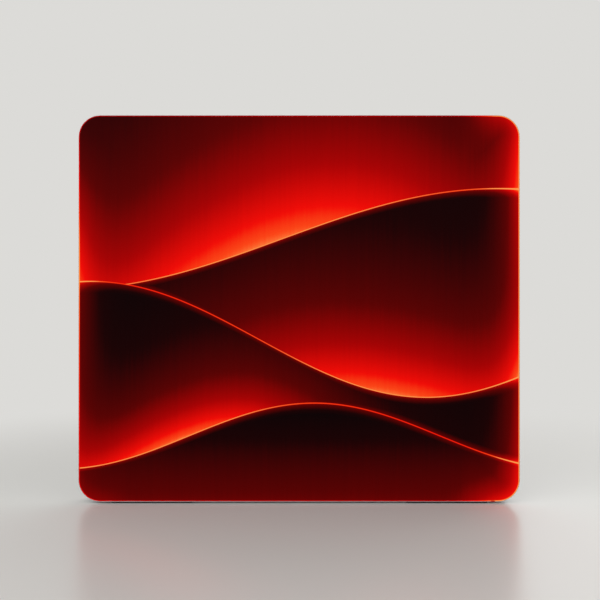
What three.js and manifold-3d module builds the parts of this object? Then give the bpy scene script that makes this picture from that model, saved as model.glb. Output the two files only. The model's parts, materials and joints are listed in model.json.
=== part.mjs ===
// A free-standing lightbox display wall, 8 ft by 7 ft. Eight bent and straight sections of one aluminium
// extrusion make a rounded frame, held at each joint by a splice bar and a quarter-turn lock. A printed
// fabric and a block-out liner are pressed into the frame's grooves by silicone edge strips, and LED bars in
// the frame's inner track light the fabric from its edges. It stands on two swivel feet.
// Millimetres, +Z up, the printed face towards -Y, origin on the floor under the middle of the wall.
import * as THREE from 'three';
import { mergeVertices } from 'three/addons/utils/BufferGeometryUtils.js';
import Module from 'manifold-3d';

const wasm = await Module();
wasm.setup();

// The wall as a whole
const wallWidth = 2438; // 8 ft
const wallHeight = 2134; // 7 ft, without the feet
const frameDepth = 120;
const cornerRadius = 120;
const cornerFacets = 10; // in a quarter turn
const roundSides = 16; // on a round piece
const smallRoundSides = 12; // on a shank, pin or lens
const bearingSides = 32;
const cableSides = 8;
const hexSides = 6; // of a key socket
const footCornerFacets = 3;

// Gaps
const fitGap = 0.3; // between a piece and its seat
const runningGap = 0.5; // around a shank that turns
const cutOverrun = 3; // how far a cutting tool runs past what it cuts

// The extrusion's section. Depth runs from front to back, inward runs from the wall's outline to its middle.
const skinThickness = 2;
const webThickness = 1.8;
const lipThickness = 1.8; // outer lip beside the fabric groove
const grooveWidth = 3.6;
const grooveDepth = 15;
const faceRecess = 1.5; // the fabric's seat lies this far behind the lip
const flangeDepth = 20;
const flangeHeight = 34;
const channelWidth = 60; // outer channel, which keeps locks and inlet below the outline
const channelDepth = 5;
const trackWidth = 44; // inner track, which holds splices, LED bars and nut plates
const trackDepth = 8;
const trackMouth = 34;
const trackWall = 2;

// Legs of the corner sections, beyond the bend; the straight sections take up the rest
const railLeg = 499; // along the bottom and the top
const postLeg = 447;

// Splice bars and quarter-turn locks
const spliceLength = 160;
const lockInset = 40; // from the joint to the lock
const lockSlotEnd = 10; // slot beyond the lock's axis
const lockHeadRadius = 10;
const lockHeadThickness = 2.4;
const lockSocketRadius = 3.6;
const lockSocketDepth = 1.6;
const lockShankRadius = 4;
const lockBarLength = 26;
const lockBarWidth = 7;
const lockBarThickness = 3;

// Fabric faces and their edge strips
const fabricThickness = 1;
const tabWidth = 20;
const tabThickness = 0.8;
const tabRise = 6; // on the face, above the wall's lower edge
const tabReach = 28; // under the bottom rail
const tabFromEnd = 150; // from the wall's end to the tab's middle

// LED bars
const ledEndGap = 5;
const ledBaseThickness = 1.8;
const ledHousingWidth = 22;
const ledHousingTop = 16.5;
const ledLensPitch = 80;
const ledLensBaseRadius = 7;
const ledLensTopRadius = 5;
const ledLensHeight = 3.4;
const ledTapLength = 14;
const ledTapThickness = 2.6;
const ledTapProng = 4;
const ledTapInset = 12; // from the bar's end to the tap's middle

// Centre post and its shoes
const postWidth = 25;
const postDepth = 20;
const postWall = 2;
const shoeWall = 3;
const shoeReach = 38; // how much of the post a shoe holds
const shoePegRadius = 3;
const shoePegSpacing = 16;
const shoePegInward = 28; // from the wall's outline
const shoeOverLenses = 0.7;

// Low-voltage cables
const cableRadius = 2.5;

// Mains inlet, its switch and its fuse drawer; the inlet's own length runs up the post
const inletHeight = 200; // above the wall's lower edge
const inletFlangeLength = 62;
const inletFlangeWidth = 50;
const inletFlangeThickness = 2.5;
const inletBodyLength = 48;
const inletBodyWidth = 27.4;
const inletBodyDepth = 28;
const socketLength = 16.5;
const socketWidth = 24;
const socketDepth = 16;
const socketEndWall = 2.6;
const socketPinWidth = 2;
const socketPinLength = 4;
const socketPinRecess = 2;
const socketPinSpacing = 14;
const socketEarthOffset = 4;
const fuseDrawerLength = 8;
const fuseDrawerWidth = 24.4;
const fuseDrawerDepth = 22;
const fuseDrawerWall = 1.4;
const fuseRadius = 2.5;
const fuseLength = 20;
const fuseWaist = 0.3; // the glass lies this far below the end caps
const fuseCapLength = 5;
const inletPartition = 2.5; // between the socket, the drawer and the switch
const rockerLength = 12.2;
const rockerWidth = 18.4;
const rockerEdge = 5.2; // from the pivot out to the ends of the rocker's face
const rockerMiddle = 3.6; // from the pivot out to the middle of the rocker's face
const rockerHeelWidth = 8;
const rockerHeel = 4;
const rockerTilt = THREE.MathUtils.degToRad(10);
const rockerPinRadius = 1.2;
const rockerPinLength = 15;
const rockerPivotDepth = 6.4; // below the flange
const rockerWellLength = 13;
const rockerWellWidth = 21;
const rockerWellDepth = 14;

// Driver
const driverLength = 190;
const driverWidth = 56;
const driverHeight = 34;
const driverFromInlet = 75; // from the inlet's middle to the driver's end
const driverGrooveCount = 5;
const driverGrooveWidth = 3;
const driverGrooveDepth = 2;
const bracketThickness = 2;
const bracketCheekHeight = 12;
const bracketFootLength = 30;
const mainsLeadRadius = 3;
const mainsLeadInward = 27; // where it leaves the inlet
const leadRise = 6; // from the inlet to where it enters the driver
const leadSteps = 10;
const feedLeadRun = 90; // along the post

// Swivel feet
const footFromEnd = 400; // from the wall's end to the pivot
const footLength = 450;
const footWidth = 100;
const footCornerRadius = 20;
const footPlateThickness = 6;
const soleThickness = 3;
const soleInset = 3;
const soleHoleRadius = 17;
const bearingRadius = 28;
const bearingProud = 1; // below the frame
const boltRadius = 5;
const boltHeadRadius = 11;
const boltHeadThickness = 2.4;
const boltSocketRadius = 3.6;
const boltSocketDepth = 1.4;
const nutPlateLength = 60;

// Worked out from the sizes above
const halfDepth = frameDepth / 2;
const flangeFace = halfDepth - faceRecess;
const flangeBack = flangeFace - flangeDepth;
const grooveFloor = halfDepth - grooveDepth;
const grooveInner = lipThickness + grooveWidth;
const hatHalfWidth = channelWidth / 2 + skinThickness;
const trackFloor = channelDepth + skinThickness;
const trackLip = trackFloor + trackDepth;
const trackTop = trackLip + trackWall;
const straightRail = wallWidth - 2 * (cornerRadius + railLeg);
const straightPost = wallHeight - 2 * (cornerRadius + postLeg);
const cableDepth = (hatHalfWidth + flangeBack) / 2;
const cableInward = skinThickness + fitGap + cableRadius;
const plateTop = -bearingProud - fitGap;
const plateBottom = plateTop - footPlateThickness;
const soleTop = plateBottom - fitGap;
const soleBottom = soleTop - soleThickness;
const wallMiddle = wallHeight / 2 - soleBottom;
const footOffset = wallWidth / 2 - footFromEnd;

// Finishes
const finish = (name, color, roughness, metalness) =>
  new THREE.MeshStandardMaterial({ name, color, roughness, metalness, flatShading: true });
const anodised = finish('anodised aluminium', 0xb4b7bb, 0.38, 1);
const zincSteel = finish('zinc-plated steel', 0xa9adb0, 0.35, 1);
const darkSteel = finish('powder-coated steel', 0x1c1c1e, 0.6, 0);
const printedFabric = finish('printed stretch fabric', 0x8a0600, 0.85, 0);
printedFabric.emissive = new THREE.Color(0xd81200);
const blockOutFabric = finish('block-out fabric', 0x2a2a2c, 0.9, 0);
const silicone = finish('silicone', 0xe8742e, 0.5, 0);
const rubber = finish('rubber', 0x161616, 0.9, 0);
const nylon = finish('nylon', 0x202022, 0.5, 0);
const whitePlastic = finish('white moulded plastic', 0xe9e9e4, 0.45, 0);
const blackPlastic = finish('black moulded plastic', 0x141416, 0.4, 0);
const cableSheath = finish('cable sheath', 0x101012, 0.55, 0);

// Shapes
const span = (width, middle = 0) => [middle - width / 2, middle + width / 2];

function box(x, y, z) {
  const ranges = [x, y, z];
  return new THREE.BoxGeometry(...ranges.map(([low, high]) => high - low)).translate(
    ...ranges.map(([low, high]) => (low + high) / 2),
  );
}

function rod(radius, [low, high], sides = smallRoundSides, topRadius = radius) {
  return new THREE.CylinderGeometry(topRadius, radius, high - low, sides)
    .rotateX(Math.PI / 2)
    .translate(0, 0, (low + high) / 2);
}

function solidOf(geometry) {
  const bare = geometry.clone();
  bare.deleteAttribute('normal');
  bare.deleteAttribute('uv');
  const merged = mergeVertices(bare);
  return new wasm.Manifold(
    new wasm.Mesh({
      numProp: 3,
      vertProperties: merged.attributes.position.array,
      triVerts: new Uint32Array(merged.index.array),
    }),
  );
}

function geometryOf(solid) {
  const { vertProperties, triVerts } = solid.getMesh();
  const geometry = new THREE.BufferGeometry();
  geometry.setAttribute('position', new THREE.BufferAttribute(new Float32Array(vertProperties), 3));
  geometry.setIndex(new THREE.BufferAttribute(new Uint32Array(triVerts), 1));
  geometry.computeVertexNormals();
  return geometry;
}

const joined = (...geometries) =>
  geometryOf(geometries.map(solidOf).reduce((whole, next) => whole.add(next)));
const cut = (geometry, ...tools) =>
  geometryOf(tools.map(solidOf).reduce((whole, tool) => whole.subtract(tool), solidOf(geometry)));

// Carries loops of (depth, inward) points, outline first and holes after it, along stations. A station says
// where the outline of the wall is in the XZ plane and which way is inward there. A run is open or closed.
function sweep(loops, stations, closed = false) {
  const rings = loops.map((loop, i) =>
    THREE.ShapeUtils.isClockWise(loop) === i > 0 ? loop : [...loop].reverse(),
  );
  const section = rings.flat();
  const positions = stations.flatMap(({ x, z, inX, inZ }) =>
    section.flatMap((point) => [x + point.y * inX, point.x, z + point.y * inZ]),
  );
  const faces = [];
  const gaps = closed ? stations.length : stations.length - 1;
  for (let i = 0; i < gaps; i++) {
    const here = i * section.length;
    const next = ((i + 1) % stations.length) * section.length;
    let first = 0;
    for (const ring of rings) {
      for (let j = 0; j < ring.length; j++) {
        const a = first + j;
        const b = first + ((j + 1) % ring.length);
        faces.push(here + a, here + b, next + b, here + a, next + b, next + a);
      }
      first += ring.length;
    }
  }
  if (!closed) {
    const last = (stations.length - 1) * section.length;
    for (const triangle of THREE.ShapeUtils.triangulateShape(rings[0], rings.slice(1))) {
      const flat = triangle.map((index) => section[index]);
      const [a, b, c] = THREE.ShapeUtils.isClockWise(flat) ? [...triangle].reverse() : triangle;
      faces.push(c, b, a, last + a, last + b, last + c);
    }
  }
  const geometry = new THREE.BufferGeometry();
  geometry.setAttribute('position', new THREE.Float32BufferAttribute(positions, 3));
  geometry.setIndex(faces);
  geometry.computeVertexNormals();
  return geometry;
}

const alongSide = (length) => span(length).map((x) => ({ x, z: 0, inX: 0, inZ: 1 }));

// A quarter turn about a centre, beginning where the outline's outward direction is at startAngle.
function quarterTurn(centreX, centreZ, startAngle) {
  return Array.from({ length: cornerFacets + 1 }, (_, i) => {
    const angle = startAngle + (i / cornerFacets) * (Math.PI / 2);
    const outX = Math.cos(angle);
    const outZ = Math.sin(angle);
    return {
      x: centreX + cornerRadius * outX,
      z: centreZ + cornerRadius * outZ,
      inX: -outX,
      inZ: -outZ,
    };
  });
}

// All round the wall's outline, about the middle of the wall, anticlockwise from the lower right corner.
const wallOutline = [
  [1, -1],
  [1, 1],
  [-1, 1],
  [-1, -1],
].flatMap(([signX, signZ], i) =>
  quarterTurn(
    signX * (wallWidth / 2 - cornerRadius),
    signZ * (wallHeight / 2 - cornerRadius),
    ((i - 1) * Math.PI) / 2,
  ),
);

function rectangle([depthLow, depthHigh], [inLow, inHigh]) {
  return [
    new THREE.Vector2(depthLow, inLow),
    new THREE.Vector2(depthHigh, inLow),
    new THREE.Vector2(depthHigh, inHigh),
    new THREE.Vector2(depthLow, inHigh),
  ];
}

function circle(depth, inward, radius) {
  return Array.from({ length: cableSides }, (_, i) => {
    const angle = ((i + 1 / 2) / cableSides) * 2 * Math.PI;
    return new THREE.Vector2(depth + radius * Math.cos(angle), inward + radius * Math.sin(angle));
  });
}

// The frame's section: an outer wall with its channel, a lipped inner track, and at the front and the back a
// fabric groove and a hollow flange.
function frameSection() {
  const half = [
    [channelWidth / 2, channelDepth],
    [channelWidth / 2, 0],
    [halfDepth, 0],
    [halfDepth, lipThickness],
    [grooveFloor, lipThickness],
    [grooveFloor, grooveInner],
    [flangeFace, grooveInner],
    [flangeFace, flangeHeight],
    [flangeBack, flangeHeight],
    [flangeBack, skinThickness],
    [hatHalfWidth, skinThickness],
    [hatHalfWidth, trackFloor],
    [trackWidth / 2 + trackWall, trackFloor],
    [trackWidth / 2 + trackWall, trackTop],
    [trackMouth / 2, trackTop],
    [trackMouth / 2, trackLip],
    [trackWidth / 2, trackLip],
    [trackWidth / 2, trackFloor],
  ];
  const rear = half.map(([depth, inward]) => new THREE.Vector2(depth, inward));
  const front = half.map(([depth, inward]) => new THREE.Vector2(-depth, inward)).reverse();
  const chamber = [
    [flangeBack + webThickness, flangeFace - webThickness],
    [grooveInner + webThickness, flangeHeight - webThickness],
  ];
  const [[near, far], inwards] = chamber;
  return [[...rear, ...front], rectangle([near, far], inwards), rectangle([-far, -near], inwards)];
}

// Cutting tools for the frame, in a side's own frame: X along the side, Y front to back, Z inward
const boltHole = () => rod(boltRadius + runningGap, [-cutOverrun, trackFloor + cutOverrun]);
const lockHole = () => rod(lockShankRadius + runningGap, [-cutOverrun, trackFloor + cutOverrun]);
const inletCutOut = () =>
  box(
    span(inletBodyLength + 2 * fitGap),
    span(inletBodyWidth + 2 * fitGap),
    [-cutOverrun, trackFloor + cutOverrun],
  );

function pegHoles() {
  return [-1, 1].map((sign) =>
    rod(shoePegRadius + fitGap, [flangeBack - cutOverrun, flangeBack + webThickness + cutOverrun])
      .rotateX(-Math.PI / 2)
      .translate((sign * shoePegSpacing) / 2, 0, shoePegInward),
  );
}

function straightSection(length, extraCuts) {
  const lockPlaces = [-1, 1].map((sign) => sign * (length / 2 - lockInset));
  return cut(
    sweep(frameSection(), alongSide(length - fitGap)),
    ...lockPlaces.map((x) => lockHole().translate(x, 0, 0)),
    ...extraCuts,
  );
}

// A corner section, about the centre of its bend: a first leg along -X, the bend, and a second leg along +Z.
function cornerSection(firstLeg, secondLeg, cuts) {
  const stations = [
    { x: fitGap / 2 - firstLeg, z: -cornerRadius, inX: 0, inZ: 1 },
    ...quarterTurn(0, 0, -Math.PI / 2),
    { x: cornerRadius, z: secondLeg - fitGap / 2, inX: -1, inZ: 0 },
  ];
  const bent = sweep(frameSection(), stations);
  return cuts.length ? cut(bent, ...cuts) : bent;
}

const onFirstLeg = (tool, distance) => tool.translate(-distance, 0, -cornerRadius);
const onSecondLeg = (tool, distance) =>
  tool.rotateY(-Math.PI / 2).translate(cornerRadius, 0, distance);

// A bar in the inner track across a joint, with its slotted end towards -X.
function spliceBar() {
  const slotLength = spliceLength / 2 - lockInset + lockSlotEnd;
  const end = -spliceLength / 2;
  return cut(
    box(
      span(spliceLength),
      span(trackWidth - 2 * fitGap),
      [trackFloor + fitGap, trackLip - fitGap],
    ),
    box(
      [end - cutOverrun, end + slotLength],
      span(2 * (lockShankRadius + runningGap)),
      [trackFloor, trackTop],
    ),
  );
}

// A quarter-turn lock: a socket head in the outer channel, a shank through the frame, and a T-bar that holds
// the splice bar down when it lies across the slot.
function quarterTurnLock() {
  const headTop = channelDepth - fitGap;
  const headFace = headTop - lockHeadThickness;
  const barBase = trackLip;
  const stud = joined(
    rod(lockHeadRadius, [headFace, headTop], roundSides),
    rod(lockShankRadius, [headFace, barBase + lockBarThickness]),
    box(span(lockBarWidth), span(lockBarLength), [barBase, barBase + lockBarThickness]),
  );
  return cut(stud, rod(lockSocketRadius, [-cutOverrun, headFace + lockSocketDepth], hexSides));
}

// One LED bar in the inner track, with lenses along it and a tap that reaches over to the bus cable.
function ledBar(length) {
  const baseBottom = trackFloor + fitGap;
  const tapBottom = trackTop + fitGap;
  const tapMiddle = length / 2 - ledTapInset;
  const lensRun = length - 2 * ledTapInset - 2 * ledTapLength;
  const lensCount = Math.max(1, Math.floor(lensRun / ledLensPitch) + 1);
  const lenses = Array.from({ length: lensCount }, (_, i) =>
    rod(
      ledLensBaseRadius,
      [ledHousingTop - fitGap, ledHousingTop + ledLensHeight],
      cableSides,
      ledLensTopRadius,
    ).translate((i - (lensCount - 1) / 2) * ledLensPitch, 0, 0),
  );
  return joined(
    box(span(length), span(trackWidth - 2 * fitGap), [baseBottom, baseBottom + ledBaseThickness]),
    box(span(length), span(ledHousingWidth), [baseBottom, ledHousingTop]),
    ...lenses,
    box(
      span(ledTapLength, tapMiddle),
      [0, ledHousingWidth / 2],
      [baseBottom, tapBottom + ledTapThickness],
    ),
    box(
      span(ledTapLength, tapMiddle),
      [0, cableDepth + ledTapProng / 2],
      [tapBottom, tapBottom + ledTapThickness],
    ),
    box(
      span(ledTapLength / 2, tapMiddle),
      span(ledTapProng, cableDepth),
      [cableInward + cableRadius + fitGap, tapBottom + ledTapThickness],
    ),
  );
}

const busCable = () =>
  sweep([circle(cableDepth, cableInward, cableRadius)], wallOutline, true);

// The centre post stands behind the LED bars, between two shoes that hook into the rear flange.
const shoeFloor = ledHousingTop + ledLensHeight + shoeOverLenses;
const postEnd = shoeFloor + shoeWall + fitGap;
const shoeRear = flangeBack - fitGap;
const postMiddleDepth = shoeRear - shoeWall - fitGap - postDepth / 2;

function centrePost() {
  const ends = [postEnd - wallHeight / 2, wallHeight / 2 - postEnd];
  const [low, high] = ends;
  return cut(
    box(span(postWidth), span(postDepth, postMiddleDepth), ends),
    box(
      span(postWidth - 2 * postWall),
      span(postDepth - 2 * postWall, postMiddleDepth),
      [low - cutOverrun, high + cutOverrun],
    ),
  );
}

function postShoe() {
  const pocketWidth = postWidth + 2 * fitGap;
  const pocketDepth = postDepth + 2 * fitGap;
  const top = postEnd + shoeReach;
  const cup = cut(
    box(
      span(pocketWidth + 2 * shoeWall),
      span(pocketDepth + 2 * shoeWall, postMiddleDepth),
      [shoeFloor, top],
    ),
    box(
      span(pocketWidth),
      span(pocketDepth, postMiddleDepth),
      [shoeFloor + shoeWall, top + cutOverrun],
    ),
  );
  const pegs = [-1, 1].map((sign) =>
    rod(shoePegRadius, [shoeRear - shoeWall / 2, flangeBack + webThickness])
      .rotateX(-Math.PI / 2)
      .translate((sign * shoePegSpacing) / 2, 0, shoePegInward),
  );
  return joined(cup, ...pegs);
}

// Fabric faces: the printed front and the block-out rear, each with the silicone strip sewn round its edge.
function fabricFace(sign) {
  const inset = lipThickness + fitGap;
  const outline = wallOutline.map(
    ({ x, z, inX, inZ }) => new THREE.Vector2(x + inset * inX, z + inset * inZ),
  );
  const seat = flangeFace + fitGap;
  const nearestFront = sign > 0 ? seat + fabricThickness : -seat;
  return new THREE.ExtrudeGeometry(new THREE.Shape(outline), {
    depth: fabricThickness,
    bevelEnabled: false,
  })
    .rotateX(Math.PI / 2)
    .translate(0, nearestFront, 0);
}

function edgeStrip(sign) {
  const depths = [grooveFloor + fitGap, flangeFace].map((depth) => sign * depth);
  const inwards = [lipThickness + fitGap, grooveInner - fitGap];
  return sweep([rectangle(depths, inwards)], wallOutline, true);
}

// A cloth tab that folds over the lip and lies under the bottom rail.
function pullTab(sign) {
  const inner = halfDepth + fitGap;
  const outer = inner + tabThickness;
  const under = -fitGap - tabThickness;
  const points = [
    [inner, tabRise],
    [outer, tabRise],
    [outer, under],
    [halfDepth - tabReach, under],
    [halfDepth - tabReach, -fitGap],
    [inner, -fitGap],
  ];
  const loop = points.map(([depth, inward]) => new THREE.Vector2(sign * depth, inward));
  return sweep([loop], alongSide(tabWidth));
}

// The mains inlet, in the post's own frame: X up the post, Z inward from the wall's outline
const inletFace = channelDepth - fitGap - inletFlangeThickness;
const inletBack = channelDepth - fitGap + inletBodyDepth;
const socketMiddle = -inletBodyLength / 2 + socketEndWall + socketLength / 2;
const fuseMiddle = socketMiddle + socketLength / 2 + inletPartition + fuseDrawerLength / 2;
const rockerMiddleUp = fuseMiddle + fuseDrawerLength / 2 + inletPartition + rockerWellLength / 2;
const rockerPivot = inletFace + rockerPivotDepth;

function mainsInlet() {
  const housing = joined(
    box(
      span(inletFlangeLength),
      span(inletFlangeWidth),
      [inletFace, inletFace + inletFlangeThickness],
    ),
    box(span(inletBodyLength), span(inletBodyWidth), [inletFace, inletBack]),
  );
  const opening = inletFace - cutOverrun;
  const hollowed = cut(
    housing,
    box(
      span(socketLength, socketMiddle),
      span(socketWidth),
      [opening, inletFace + socketDepth],
    ),
    box(
      span(fuseDrawerLength, fuseMiddle),
      span(fuseDrawerWidth),
      [opening, inletFace + fuseDrawerDepth],
    ),
    box(
      span(rockerWellLength, rockerMiddleUp),
      span(rockerWellWidth),
      [opening, inletFace + rockerWellDepth],
    ),
    rod(rockerPinRadius + fitGap, span(rockerPinLength + 2 * fitGap))
      .rotateY(Math.PI / 2)
      .translate(rockerMiddleUp, 0, rockerPivot),
  );
  const pins = [-1, 0, 1].map((place) =>
    box(
      span(socketPinLength, socketMiddle + (place === 0 ? socketEarthOffset : 0)),
      span(socketPinWidth, (place * socketPinSpacing) / 2),
      [inletFace + socketPinRecess, inletFace + socketDepth + fitGap],
    ),
  );
  return joined(hollowed, ...pins);
}

function fuseDrawer() {
  const length = fuseDrawerLength - 2 * fitGap;
  const width = fuseDrawerWidth - 2 * fitGap;
  const depths = [inletFace, inletFace + fuseDrawerDepth - fitGap];
  const [front, back] = depths;
  return cut(
    box(span(length), span(width), depths),
    box(
      [fuseDrawerWall - length / 2, length / 2 + cutOverrun],
      span(width - 2 * fuseDrawerWall),
      [front + 2 * fuseDrawerWall, back - fuseDrawerWall],
    ),
  );
}

// The fuse lies across the drawer on its lower wall.
const fuseRest = fuseDrawerWall + 2 * fitGap - fuseDrawerLength / 2 + fuseRadius;
const fuseDepth = inletFace + 2 * fuseDrawerWall + fitGap + fuseRadius;

function mainsFuse() {
  const capInner = fuseLength / 2 - fuseCapLength;
  return joined(
    rod(fuseRadius - fuseWaist, span(fuseLength)),
    rod(fuseRadius, [capInner, fuseLength / 2]),
    rod(fuseRadius, [-fuseLength / 2, -capInner]),
  ).rotateX(-Math.PI / 2);
}

// The rocker about its own pivot, level, with its face towards -Z and its pin along X.
function rocker() {
  const face = [
    [-rockerWidth / 2, -rockerEdge],
    [0, -rockerMiddle],
    [rockerWidth / 2, -rockerEdge],
    [rockerHeelWidth / 2, rockerHeel],
    [-rockerHeelWidth / 2, rockerHeel],
  ].map(([across, inward]) => new THREE.Vector2(across, inward));
  return joined(
    sweep([face], alongSide(rockerLength)),
    rod(rockerPinRadius, span(rockerPinLength)).rotateY(Math.PI / 2),
  );
}

// The driver and its bracket, on the inner track above the inlet
const driverStart = driverFromInlet;
const driverMiddle = driverStart + driverLength / 2;
const bracketPlate = trackTop + fitGap;
const driverSeat = bracketPlate + bracketThickness + fitGap;

function ledDriver() {
  const top = driverSeat + driverHeight;
  const pitch = driverLength / (driverGrooveCount + 1);
  const grooves = Array.from({ length: driverGrooveCount }, (_, i) =>
    box(
      span(driverGrooveWidth, driverStart + (i + 1) * pitch),
      span(driverWidth + 2 * cutOverrun),
      [top - driverGrooveDepth, top + cutOverrun],
    ),
  );
  return cut(
    box(span(driverLength, driverMiddle), span(driverWidth), [driverSeat, top]),
    ...grooves,
  );
}

function driverBracket() {
  const cheekInner = driverWidth / 2 + fitGap;
  const cheekOuter = cheekInner + bracketThickness;
  const cheekTop = driverSeat + bracketCheekHeight;
  const cheeks = [-1, 1].map((sign) =>
    box(
      span(driverLength, driverMiddle),
      [sign * cheekInner, sign * cheekOuter].sort((a, b) => a - b),
      [bracketPlate, cheekTop],
    ),
  );
  return joined(
    box(
      span(driverLength, driverMiddle),
      span(2 * cheekOuter),
      [bracketPlate, bracketPlate + bracketThickness],
    ),
    ...cheeks,
    box(
      span(bracketFootLength, driverMiddle),
      span(trackMouth - 2 * fitGap),
      [trackFloor + fitGap, bracketPlate + bracketThickness / 2],
    ),
    box(
      span(bracketFootLength, driverMiddle),
      span(trackWidth - 2 * fitGap),
      [trackFloor + fitGap, trackLip - fitGap],
    ),
  );
}

// A cable from one point to another that leaves and arrives along X.
function lead(from, to, radius) {
  const ring = new THREE.Shape(
    Array.from({ length: cableSides }, (_, i) => {
      const angle = ((i + 1 / 2) / cableSides) * 2 * Math.PI;
      return new THREE.Vector2(radius * Math.cos(angle), radius * Math.sin(angle));
    }),
  );
  const [startX, startY, startZ] = from;
  const [endX, endY, endZ] = to;
  const middleX = (startX + endX) / 2;
  const path = new THREE.CubicBezierCurve3(
    new THREE.Vector3(startX, startY, startZ),
    new THREE.Vector3(middleX, startY, startZ),
    new THREE.Vector3(middleX, endY, endZ),
    new THREE.Vector3(endX, endY, endZ),
  );
  return new THREE.ExtrudeGeometry(ring, { steps: leadSteps, extrudePath: path });
}

function mainsLead() {
  return lead(
    [inletBodyLength / 2 + fitGap, 0, mainsLeadInward],
    [driverStart - fitGap, 0, mainsLeadInward + leadRise],
    mainsLeadRadius,
  );
}

// The feed leaves the driver's far end and comes down onto the bus cable behind the track.
function feedLead() {
  const start = driverStart + driverLength + fitGap;
  return lead(
    [start, cableDepth / 3, driverSeat + driverHeight / 3],
    [start + feedLeadRun, cableDepth, cableInward + 2 * cableRadius + fitGap],
    cableRadius,
  );
}

// Swivel feet, about their pivot, with the wall's lower face at Z = 0
function footOutline(inset) {
  const length = footLength / 2 - inset;
  const width = footWidth / 2 - inset;
  const radius = footCornerRadius - inset;
  const outline = new THREE.Shape();
  outline.absarc(length - radius, width - radius, radius, 0, Math.PI / 2);
  outline.absarc(radius - length, width - radius, radius, Math.PI / 2, Math.PI);
  outline.absarc(radius - length, radius - width, radius, Math.PI, (3 * Math.PI) / 2);
  outline.absarc(length - radius, radius - width, radius, (3 * Math.PI) / 2, 2 * Math.PI);
  return outline;
}

function footPiece(inset, holeRadius, [low, high]) {
  const plate = new THREE.ExtrudeGeometry(footOutline(inset), {
    depth: high - low,
    bevelEnabled: false,
    curveSegments: footCornerFacets,
  }).translate(0, 0, low);
  return cut(plate, rod(holeRadius, [low - cutOverrun, high + cutOverrun], roundSides));
}

const footPlate = () => footPiece(0, boltRadius + runningGap, [plateBottom, plateTop]);
const footSole = () => footPiece(soleInset, soleHoleRadius, [soleBottom, soleTop]);

function footBearing() {
  const heights = [-bearingProud, channelDepth - fitGap];
  const [low, high] = heights;
  return cut(
    rod(bearingRadius, heights, bearingSides),
    rod(boltRadius + runningGap, [low - cutOverrun, high + cutOverrun]),
  );
}

function footBolt() {
  const headTop = plateBottom - fitGap;
  const headFace = headTop - boltHeadThickness;
  return cut(
    joined(
      rod(boltHeadRadius, [headFace, headTop], roundSides),
      rod(boltRadius, [headFace, trackLip - fitGap]),
    ),
    rod(boltSocketRadius, [headFace - cutOverrun, headFace + boltSocketDepth], hexSides),
  );
}

function footNutPlate() {
  return cut(
    box(
      span(nutPlateLength),
      span(trackWidth - 2 * fitGap),
      [trackFloor + fitGap, trackLip - fitGap],
    ),
    rod(boltRadius + fitGap, [trackFloor, trackLip]),
  );
}

// Assembly
const wall = new THREE.Group();
wall.name = 'lightbox_display_wall';

function add(parent, name, geometry, material, position = [0, 0, 0]) {
  const mesh = new THREE.Mesh(geometry, material);
  mesh.name = name;
  mesh.position.set(...position);
  parent.add(mesh);
  return mesh;
}

// Each side has a group on the wall's outline, at the side's middle: X along the side, Z inward. The ends are
// named for where the side's -X and +X ends lie.
const sides = [
  { name: 'bottom', section: 'bottom_rail', ends: ['left', 'right'] },
  { name: 'right', section: 'right_post', ends: ['lower', 'upper'] },
  { name: 'top', section: 'top_rail', ends: ['right', 'left'] },
  { name: 'left', section: 'left_post', ends: ['upper', 'lower'] },
];

const group = {};
sides.forEach(({ name, section, ends }, turn) => {
  const upright = turn % 2 === 1;
  const outwards = (upright ? wallWidth : wallHeight) / 2;
  const straight = upright ? straightPost : straightRail;
  const side = new THREE.Group();
  side.rotation.y = (-turn * Math.PI) / 2;
  side.position.set(
    outwards * Math.sin((turn * Math.PI) / 2),
    0,
    wallMiddle - outwards * Math.cos((turn * Math.PI) / 2),
  );
  wall.add(side);
  group[name] = side;

  add(side, section, straightSection(straight, upright ? [] : pegHoles()), anodised);
  ends.forEach((end, i) => {
    const sign = i === 0 ? -1 : 1;
    const splice = add(side, `splice_bar_${name}_${end}`, spliceBar(), zincSteel, [
      (sign * straight) / 2,
      0,
      0,
    ]);
    splice.rotation.z = i === 0 ? Math.PI : 0;
    add(side, `lock_${name}_${end}`, quarterTurnLock(), zincSteel, [
      sign * (straight / 2 - lockInset),
      0,
      0,
    ]);
  });
});

// Corner sections, anticlockwise seen from the front: each begins on the side with the same number
const footOnLeg = footFromEnd - cornerRadius;
const inletOnLeg = inletHeight - cornerRadius;
const corners = [
  {
    name: 'corner_bottom_right',
    cuts: [onFirstLeg(boltHole(), footOnLeg), onSecondLeg(inletCutOut(), inletOnLeg)],
  },
  { name: 'corner_top_right', cuts: [] },
  { name: 'corner_top_left', cuts: [] },
  { name: 'corner_bottom_left', cuts: [onSecondLeg(boltHole(), footOnLeg)] },
];
corners.forEach(({ name, cuts }, turn) => {
  const legs = turn % 2 === 0 ? [railLeg, postLeg] : [postLeg, railLeg];
  const signX = turn < 2 ? 1 : -1;
  const signZ = turn === 1 || turn === 2 ? 1 : -1;
  const corner = add(wall, name, cornerSection(...legs, cuts), anodised, [
    signX * (wallWidth / 2 - cornerRadius),
    0,
    wallMiddle + signZ * (wallHeight / 2 - cornerRadius),
  ]);
  corner.rotation.y = (-turn * Math.PI) / 2;
});

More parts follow.
